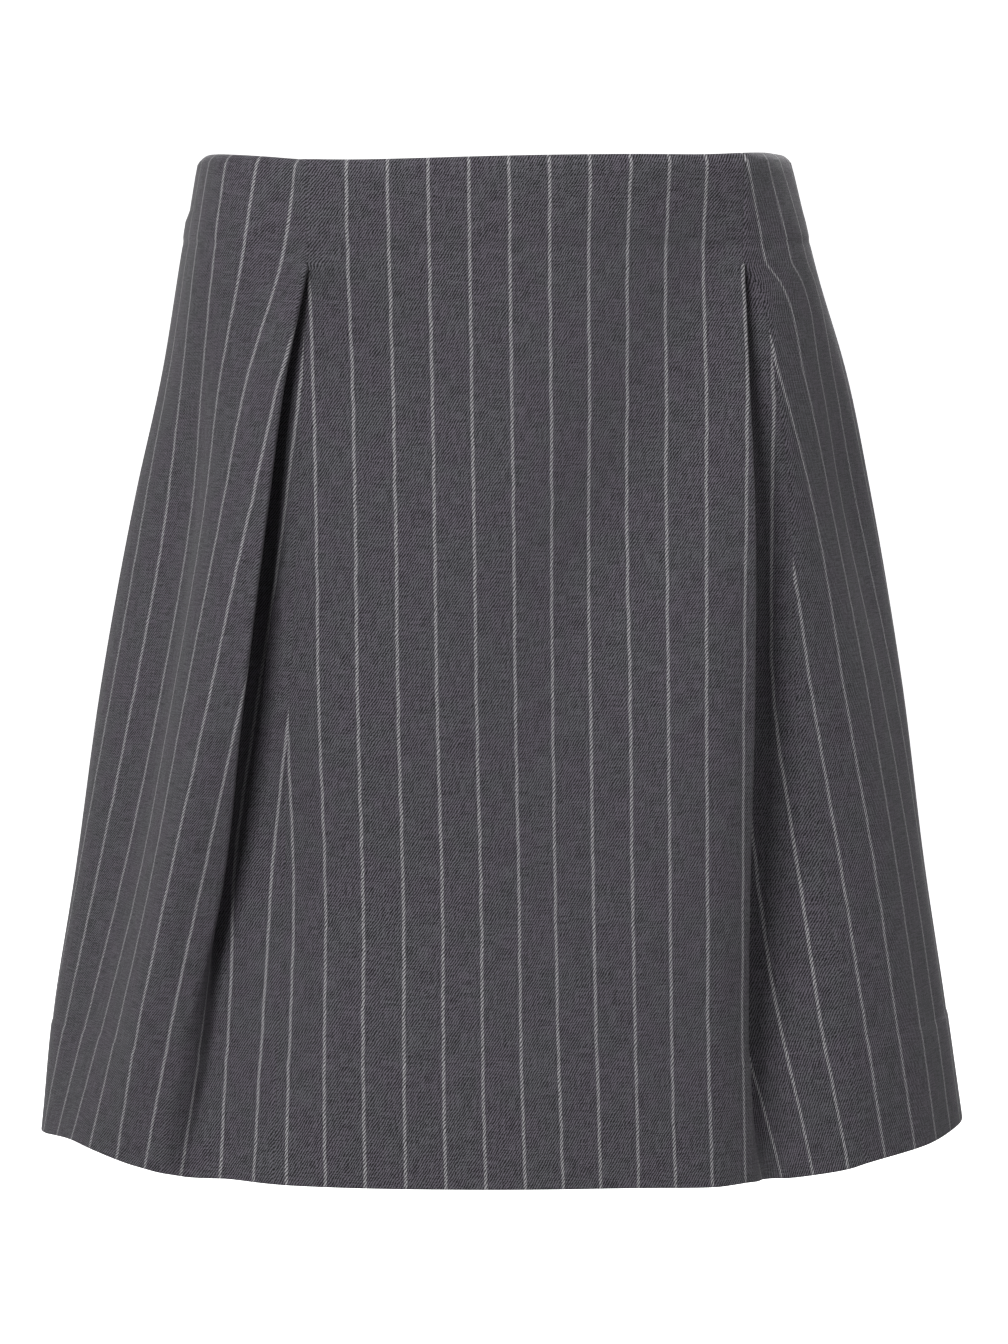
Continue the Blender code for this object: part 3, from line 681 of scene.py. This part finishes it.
def side_step(panel, first, last, drop):
    """The turned edge draws the cloth in beside the side seams, and lets it go in a small step."""
    if panel.first.startswith("side"):
        away = first
    elif panel.last.startswith("side"):
        away = last
    else:
        return 0.0
    above = smooth_step((SIDE_STEP_DROP + SIDE_STEP_FADE / 2 - drop) / SIDE_STEP_FADE)
    return SIDE_STEP * above * smooth_step(1 - away / SIDE_STEP_REACH)


def imprint(drop):
    """The faint groove that the turned edges press into the cloth, at the facing and at the hem."""
    facing = FACING_GROOVE * math.exp(-(((drop - FACING_DEPTH) / GROOVE_WIDTH) ** 2))
    hem = HEM_GROOVE * math.exp(-(((drop - DROPS["hem"] + HEM_DEPTH) / GROOVE_WIDTH) ** 2))
    return facing + hem


def crease_height(panel, across, drop):
    """How far the soft creases lift the cloth here, in millimetres."""
    height = 0.0
    for crease in CREASES:
        if crease.piece != panel.name:
            continue
        down = drop - crease.drop
        beside = across - crease.across - crease.slant * down
        far = (down / crease.half_length) ** 2 + (beside / crease.half_width) ** 2
        height += crease.depth * math.exp(-far)
    return height


def cloth_shell(panel, rows, drops, material):
    """A panel's fine shell: a grid on the form, creased, rolled in at its seams and given its wall."""
    across = max(len(points) for points, _ in rows)
    bm = bmesh.new()
    bmesh.ops.create_grid(bm, x_segments=across - 1, y_segments=len(rows) - 1, size=1.0)
    cut = bm.loops.layers.uv.new("cut")
    walls = bm.verts.layers.deform.new()
    places = {}
    edges = {}
    spare = []
    for k, vert in enumerate(bm.verts):
        level, column = divmod(k, across)
        row = len(rows) - 1 - level
        points, cloth = rows[row]
        if column >= len(points):
            spare.append(vert)
            continue
        vert.co = Vector(points[column]) * MM
        places[vert] = (cloth[column], drops[row])
        edges[vert] = (abs(cloth[column] - cloth[0]), abs(cloth[-1] - cloth[column]))
    bmesh.ops.delete(bm, geom=spare, context="VERTS")
    bm.normal_update()
    moves = {}
    for vert, (u, drop) in places.items():
        first, last = edges[vert]
        vert[walls][0] = (WALL + (TURNED_WALL - WALL) * turned_share(drop)) / TURNED_WALL
        height = crease_height(panel, u, drop) * folded_share(panel, u, drop)
        height -= seam_roll(drop) * max(0.0, 1 - min(first, last) / SEAM_ROLL_WIDTH) ** 2
        height -= WAIST_ROLL * max(0.0, 1 - drop / WAIST_ROLL_DEPTH) ** 2
        height -= side_step(panel, first, last, drop) + imprint(drop)
        moves[vert] = vert.normal * height * MM
    for vert, move in moves.items():
        vert.co += move
    map_cut(bm, cut, places)
    piece = placed(panel.name + "_cloth", bm, material)
    piece.vertex_groups.new(name="wall")
    wall = give_wall(piece, TURNED_WALL, EDGE_ROUND)
    wall.vertex_group = "wall"
    wall.use_even_offset = True
    return piece


def map_cut(bm, cut, places):
    """Writes each vertex's place on the cut cloth, across and down, into the sheet's map."""
    for face in bm.faces:
        for loop in face.loops:
            across, drop = places[loop.vert]
            loop[cut].uv = (across * MM, -drop * MM)


def give_wall(piece, thickness, rim_width):
    """Thickens a sheet to both sides and rounds its rims. Returns what thickens it."""
    wall = piece.modifiers.new("wall", "SOLIDIFY")
    wall.thickness = thickness * MM
    wall.offset = 0.0
    rim = piece.modifiers.new("rim", "BEVEL")
    rim.width = rim_width * MM
    rim.segments = RIM_SEGMENTS
    rim.limit_method = "ANGLE"
    rim.angle_limit = RIM_ANGLE
    return wall


def folded_share(panel, across, drop):
    """Creases fade out towards a pleat's fold and stay off the layers under it."""
    if panel.pleat is None:
        return 1.0
    anchors, _ = PLEAT_CLOTH[panel.pleat]
    fold = at_height(anchors[-1][1], max(drop, OPENING))
    share = smooth_step((fold - across) / FOLD_FADE)
    return share + (1 - share) * smooth_step((DROPS["apex"] - drop) / SEAM_FADE)


def placed(name, bm, material, smooth=True):
    """A finished mesh as a piece of the scene, at the origin."""
    mesh = bpy.data.meshes.new(name)
    bm.to_mesh(mesh)
    bm.free()
    if smooth:
        mesh.shade_smooth()
    mesh.materials.append(material)
    piece = bpy.data.objects.new(name, mesh)
    bpy.context.scene.collection.objects.link(piece)
    return piece


def moved_in(rows, distance):
    """Rows of a sheet moved towards the inside of the skirt, square to the sheet."""
    grid = np.array(rows)
    inward = np.cross(np.gradient(grid, axis=1), np.gradient(grid, axis=0))
    return grid + distance * inward / np.linalg.norm(inward, axis=2, keepdims=True)


def beside_seam(side, drop, distances):
    """Points on the form beside the centre-back seam, at distances from it, in the order of the ring."""
    first, last = ("side_left", "seam_back") if side == "left" else ("seam_back", "side_right")
    points, lengths = ring_at(drop).stretch(first, last)
    wanted = np.array(distances)
    if side == "left":
        wanted = lengths[-1] - wanted[::-1]
    return read_along(points, lengths, wanted)


def zip_tape(side, material):
    """One of the zip's woven tapes, flat against the inside of the back."""
    drops = np.linspace(ZIP_TOP, ZIP_END, ZIP_ROWS)
    widths = np.linspace(TAPE_GAP, TAPE_WIDTH, TAPE_COLUMNS)
    rows = moved_in([beside_seam(side, drop, widths) for drop in drops], TAPE_DEPTH)
    bm = bmesh.new()
    bmesh.ops.create_grid(bm, x_segments=TAPE_COLUMNS - 1, y_segments=ZIP_ROWS - 1, size=1.0)
    cut = bm.loops.layers.uv.new("cut")
    places = {}
    for k, vert in enumerate(bm.verts):
        level, column = divmod(k, TAPE_COLUMNS)
        row = ZIP_ROWS - 1 - level
        vert.co = Vector(rows[row][column]) * MM
        places[vert] = (widths[column], drops[row])
    map_cut(bm, cut, places)
    piece = placed(f"zip_tape_{side}_cloth", bm, material)
    give_wall(piece, TAPE_THICK, TAPE_THICK / 4)
    return piece


def zip_coil(side, material):
    """The row of coil teeth on a tape's inner edge: one short bent bar for each turn."""
    count = int((ZIP_END - ZIP_TOP - 2 * COIL_END) / COIL_PITCH)
    phase = 0.5 if side == "left" else 0.0
    drops = [ZIP_TOP + COIL_END + COIL_PITCH * (k + phase) for k in range(count)]
    ends = [beside_seam(side, drop, (COIL_EDGE, COIL_EDGE + COIL_WIDTH)) for drop in drops]
    edge, beside = moved_in(ends, TAPE_DEPTH + TAPE_THICK / 2 + COIL_WIRE / 2).transpose(1, 0, 2)
    if side == "left":
        edge, beside = beside, edge
    size = Matrix.Diagonal((COIL_WIDTH * MM, COIL_WIRE * MM, COIL_WIRE * MM, 1.0))
    bm = bmesh.new()
    for k, (near, far) in enumerate(zip(edge, beside)):
        up = Vector(edge[max(k - 1, 0)] - edge[min(k + 1, count - 1)]).normalized()
        out = Vector(far - near).normalized()
        turn = Matrix((out, up, out.cross(up))).transposed().to_4x4()
        turn.translation = Vector((near + far) / 2) * MM
        bmesh.ops.create_cube(bm, size=1.0, matrix=turn @ size)
    bmesh.ops.recalc_face_normals(bm, faces=bm.faces)
    bmesh.ops.bevel(bm, geom=list(bm.edges), offset=COIL_ROUND * MM, offset_type="OFFSET",
                    segments=1, profile=0.5, affect="EDGES", material=-1)
    return placed("zip_coil_" + side, bm, material, smooth=False)


class Weaver:
    """Adds shader nodes to a tree, with their values and links."""

    def __init__(self, tree):
        self.tree = tree

    def feed(self, node, **values):
        """Sets or links a node's sockets, given by name, or by place as i0, i1 and so on."""
        for name, value in values.items():
            numbered = name[0] == "i" and name[1:].isdigit()
            socket = node.inputs[int(name[1:]) if numbered else name.replace("_", " ")]
            if isinstance(value, bpy.types.NodeSocket):
                self.tree.links.new(value, socket)
            else:
                socket.default_value = value
        return node

    def add(self, kind, settings=(), **values):
        node = self.tree.nodes.new("ShaderNode" + kind)
        for name, value in dict(settings).items():
            setattr(node, name, value)
        return self.feed(node, **values)

    def math(self, operation, a, b=0.0, c=0.0):
        return self.add("Math", {"operation": operation}, i0=a, i1=b, i2=c).outputs[0]

    def vector(self, operation, a, b):
        node = self.add("VectorMath", {"operation": operation}, i0=a, i1=b)
        return node.outputs["Value" if operation == "DOT_PRODUCT" else "Vector"]

    def noise(self, place, scale, detail=0.0, roughness=0.5):
        node = self.add("TexNoise", Vector=place, Scale=scale, Detail=detail, Roughness=roughness)
        return node.outputs["Fac"]

    def stretched_noise(self, place, stretch, scale, detail=0.0, roughness=0.5):
        return self.noise(self.vector("MULTIPLY", place, stretch), scale, detail, roughness)

    def ramp(self, value, low, high, to_low=0.0, to_high=1.0):
        settings = {"interpolation_type": "SMOOTHSTEP", "clamp": True}
        node = self.add("MapRange", settings, i0=value, i1=low, i2=high, i3=to_low, i4=to_high)
        return node.outputs[0]

    def mix(self, share, a, b, blend="MIX"):
        settings = {"data_type": "RGBA", "blend_type": blend}
        return self.add("Mix", settings, i0=share, i6=a, i7=b).outputs[2]

    def bump(self, height, strength, distance):
        return self.add("Bump", Strength=strength, Distance=distance * MM, Height=height).outputs[0]


def make_twill():
    """Twill lines and yarn flecks at a place given in millimetres on the cut cloth."""
    group = bpy.data.node_groups.new("twill", "ShaderNodeTree")
    for name, kind in (("Place", "Vector"), ("Lines", "Vector"), ("Unevenness", "Float")):
        group.interface.new_socket(name=name, in_out="INPUT", socket_type="NodeSocket" + kind)
    for name in ("Line", "Fleck", "Yarn", "Cloud"):
        group.interface.new_socket(name=name, in_out="OUTPUT", socket_type="NodeSocketFloat")
    w = Weaver(group)
    given = group.nodes.new("NodeGroupInput").outputs
    place = given["Place"]
    phase = w.vector("DOT_PRODUCT", place, given["Lines"])
    slow = w.math("SUBTRACT", w.noise(place, scale=0.22, detail=1.0), 0.5)
    quick = w.math("SUBTRACT", w.stretched_noise(place, QUICK_STRETCH, scale=1.3, detail=1.0), 0.5)
    uneven = w.math("MULTIPLY_ADD", slow, SLOW_SHARE, quick)
    uneven = w.math("MULTIPLY", uneven, given["Unevenness"])
    wave = w.math("SINE", w.math("MULTIPLY", w.math("ADD", phase, uneven), 2 * math.pi))
    line = w.ramp(wave, low=-LINE_SOFT, high=LINE_SOFT)
    yarn = w.stretched_noise(place, YARN_STRETCH, scale=2.9, detail=1.0, roughness=0.7)
    warp = w.stretched_noise(place, WARP_STRETCH, scale=1.9)
    weft = w.stretched_noise(w.vector("ADD", place, WEFT_PLACE), WEFT_STRETCH, scale=1.9)
    both = w.math("MULTIPLY", w.math("ADD", warp, weft), 0.5)
    w.feed(
        group.nodes.new("NodeGroupOutput"),
        Line=line,
        Fleck=w.ramp(yarn, low=0.4, high=0.6),
        Yarn=w.ramp(both, low=0.4, high=0.6),
        Cloud=w.noise(place, scale=0.05, detail=3.0, roughness=0.6),
    )
    return group


def woven(w, twill, lines, unevenness):
    """A twill's outputs on a piece, and the place on its cut cloth in millimetres, from its own map."""
    mapped = w.add("UVMap", {"uv_map": "cut"}).outputs[0]
    place = w.add("VectorMath", {"operation": "SCALE"}, i0=mapped, Scale=1 / MM).outputs[0]
    weave = w.add("Group", {"node_tree": twill}, Place=place, Lines=lines, Unevenness=unevenness)
    return place, weave.outputs


def new_material(name, **values):
    """A material, its weaver and its shader, with constants on the shader's own sockets."""
    material = bpy.data.materials.new(name)
    material.use_nodes = True
    weaver = Weaver(material.node_tree)
    return material, weaver, weaver.feed(material.node_tree.nodes["Principled BSDF"], **values)


def wool_pinstripe(twill):
    """Dark grey wool twill with fine light stripes of slanted dashes."""
    material, w, shader = new_material(
        "wool_pinstripe", Roughness=0.92, Sheen_Weight=0.12, Sheen_Roughness=0.45, Specular_IOR_Level=0.25
    )
    place, weave = woven(w, twill, WOOL_LINES, WOOL_UNEVEN)
    thread = w.math("MULTIPLY", weave["Line"], LINE_SHARE)
    thread = w.math("MULTIPLY_ADD", weave["Fleck"], FLECK_SHARE, thread)
    thread = w.math("MULTIPLY_ADD", weave["Yarn"], YARN_SHARE, thread)
    wool = w.mix(w.ramp(thread, low=0.2, high=0.82), WOOL_DARK, WOOL_LIGHT)
    tint = w.mix(w.ramp(weave["Cloud"], low=0.38, high=0.62), WOOL_WARM, WOOL_COOL)
    body = w.mix(1.0, wool, tint, "MULTIPLY")
    across = w.add("SeparateXYZ", i0=place).outputs[0]
    wander = w.math("MULTIPLY", w.math("SUBTRACT", w.noise(place, scale=0.09), 0.5), STRIPE_WANDER)
    across = w.math("ADD", across, wander)
    nearest = w.math("ABSOLUTE", w.math("WRAP", across, STRIPE_PITCH / 2, -STRIPE_PITCH / 2))
    stripe = w.ramp(nearest, STRIPE_CORE, STRIPE_RIM, to_low=1.0, to_high=0.0)
    dash = w.ramp(w.math("MULTIPLY_ADD", weave["Fleck"], 0.3, weave["Line"]), low=0.55, high=1.0)
    light = w.math("MULTIPLY", stripe, w.math("MULTIPLY_ADD", dash, 0.9, 0.1))
    relief = w.math("ADD", thread, w.math("MULTIPLY", light, 0.4))
    w.feed(
        shader,
        Base_Color=w.mix(light, body, STRIPE_COLOUR),
        Normal=w.bump(relief, strength=0.45, distance=0.25),
    )
    return material


def zip_tape_weave(twill):
    """Narrow woven tape, with fine cross ribs."""
    material, w, shader = new_material(
        "zip_tape_weave", Roughness=0.85, Sheen_Weight=0.1, Specular_IOR_Level=0.3
    )
    _, weave = woven(w, twill, TAPE_LINES, TAPE_UNEVEN)
    thread = w.math("MULTIPLY_ADD", weave["Line"], 0.7, w.math("MULTIPLY", weave["Fleck"], 0.3))
    w.feed(
        shader,
        Base_Color=w.mix(thread, TAPE_DARK, TAPE_LIGHT),
        Normal=w.bump(thread, strength=0.4, distance=0.15),
    )
    return material


def coil_nylon():
    """The coil's smooth, slightly worn filament."""
    material, w, shader = new_material("coil_nylon", Specular_IOR_Level=0.4)
    place = w.add("TexCoord").outputs["Object"]
    rub = w.ramp(w.noise(place, scale=900.0, detail=2.0), low=0.35, high=0.7)
    w.feed(
        shader,
        Base_Color=w.mix(rub, TAPE_DARK, TAPE_LIGHT),
        Roughness=w.ramp(rub, 0.0, 1.0, to_low=0.32, to_high=0.5),
    )
    return material


def zip_metal():
    """Dark coated metal, worn a little brighter in patches."""
    material, w, shader = new_material("zip_metal", Metallic=0.85)
    place = w.add("TexCoord").outputs["Object"]
    rub = w.ramp(w.noise(place, scale=1100.0, detail=4.0, roughness=0.6), low=0.46, high=0.72)
    dull = w.noise(place, scale=1500.0, detail=2.0)
    w.feed(
        shader,
        Base_Color=w.mix(rub, METAL_COATED, METAL_RUBBED),
        Roughness=w.ramp(dull, low=0.3, high=0.7, to_low=0.3, to_high=0.46),
        Normal=w.bump(w.noise(place, scale=2500.0, detail=2.0), strength=0.2, distance=0.05),
    )
    return material


def studio_white():
    """Matt white paper with a trace of grain, for the floor and the backdrop."""
    material, w, shader = new_material(
        "studio_white", Roughness=0.95, Specular_IOR_Level=0.1, Emission_Strength=PAPER_GLOW
    )
    place = w.add("TexCoord").outputs["Object"]
    paper = w.mix(w.noise(place, scale=30.0, detail=2.0), PAPER_LOW, PAPER_HIGH)
    w.feed(shader, Base_Color=paper, Emission_Color=paper)
    return material


def studio():
    """A white sweep far below and behind, the lamps, and a surround that the camera sees as plain white."""
    bm = bmesh.new()
    half = SWEEP_WIDTH / 2
    line = [bm.verts.new((-half, y, z)) for y, z in SWEEP_LINE]
    edges = [bm.edges.new(pair) for pair in zip(line, line[1:])]
    made = bmesh.ops.extrude_edge_only(bm, edges=edges)["geom"]
    moved = [part for part in made if isinstance(part, bmesh.types.BMVert)]
    bmesh.ops.translate(bm, verts=moved, vec=(SWEEP_WIDTH, 0.0, 0.0))
    bmesh.ops.recalc_face_normals(bm, faces=bm.faces)
    sweep = placed("sweep", bm, studio_white())
    sweep.visible_diffuse = False
    for name, power, size, place in LAMPS:
        data = bpy.data.lights.new(name, "AREA")
        data.energy = power
        data.size = size
        lamp = bpy.data.objects.new(name, data)
        lamp.location = place
        lamp.rotation_euler = (Vector(LAMP_AIM) - Vector(place)).to_track_quat("-Z", "Y").to_euler()
        bpy.context.scene.collection.objects.link(lamp)
    world = bpy.data.worlds.new("white_room")
    world.use_nodes = True
    w = Weaver(world.node_tree)
    seen = w.add("LightPath").outputs["Is Camera Ray"]
    strength = w.ramp(seen, 0.0, 1.0, ROOM_STRENGTH, SEEN_STRENGTH)
    w.feed(world.node_tree.nodes["Background"], Color=WHITE, Strength=strength)
    bpy.context.scene.world = world
    bpy.context.scene.view_settings.view_transform = "Standard"


def photo_camera():
    """The camera at the photograph's distance and tilt, turned a little to the wearer's left."""
    data = bpy.data.cameras.new("photo_camera")
    data.sensor_fit = "HORIZONTAL"
    data.sensor_width = SENSOR_WIDTH
    data.lens = FOCAL_PIXELS / PHOTO_WIDTH * SENSOR_WIDTH
    data.clip_end = CAMERA_REACH_M
    camera = bpy.data.objects.new("photo_camera", data)
    camera.location = Vector((
        CAMERA_AIM_X - CAMERA_DISTANCE * math.sin(CAMERA_TURN),
        -CAMERA_DISTANCE * math.cos(CAMERA_TURN),
        0.0,
    )) * MM
    camera.rotation_euler = (math.pi / 2 - CAMERA_PITCH, 0.0, -CAMERA_TURN)
    bpy.context.scene.collection.objects.link(camera)
    bpy.context.scene.camera = camera


def main():
    twill = make_twill()
    wool = wool_pinstripe(twill)
    drops = row_drops()
    for panel in PANELS:
        stretches = panel_stretches(panel)
        rows = [panel_row(ring_at(drop), panel, stretches) for drop in drops]
        piece = cloth_shell(panel, rows, drops, wool)
        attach(piece, "skirt")
        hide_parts(panel.name)
    tape = zip_tape_weave(twill)
    coil = coil_nylon()
    for side in ("left", "right"):
        strip = zip_tape(side, tape)
        teeth = zip_coil(side, coil)
        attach(strip, "skirt")
        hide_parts("zip_tape_" + side)
        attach(teeth, "skirt")
    metal = zip_metal()
    for node in ("zip_slider", "zip_pull"):
        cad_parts[node].data.materials.clear()
        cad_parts[node].data.materials.append(metal)
    studio()
    photo_camera()


main()
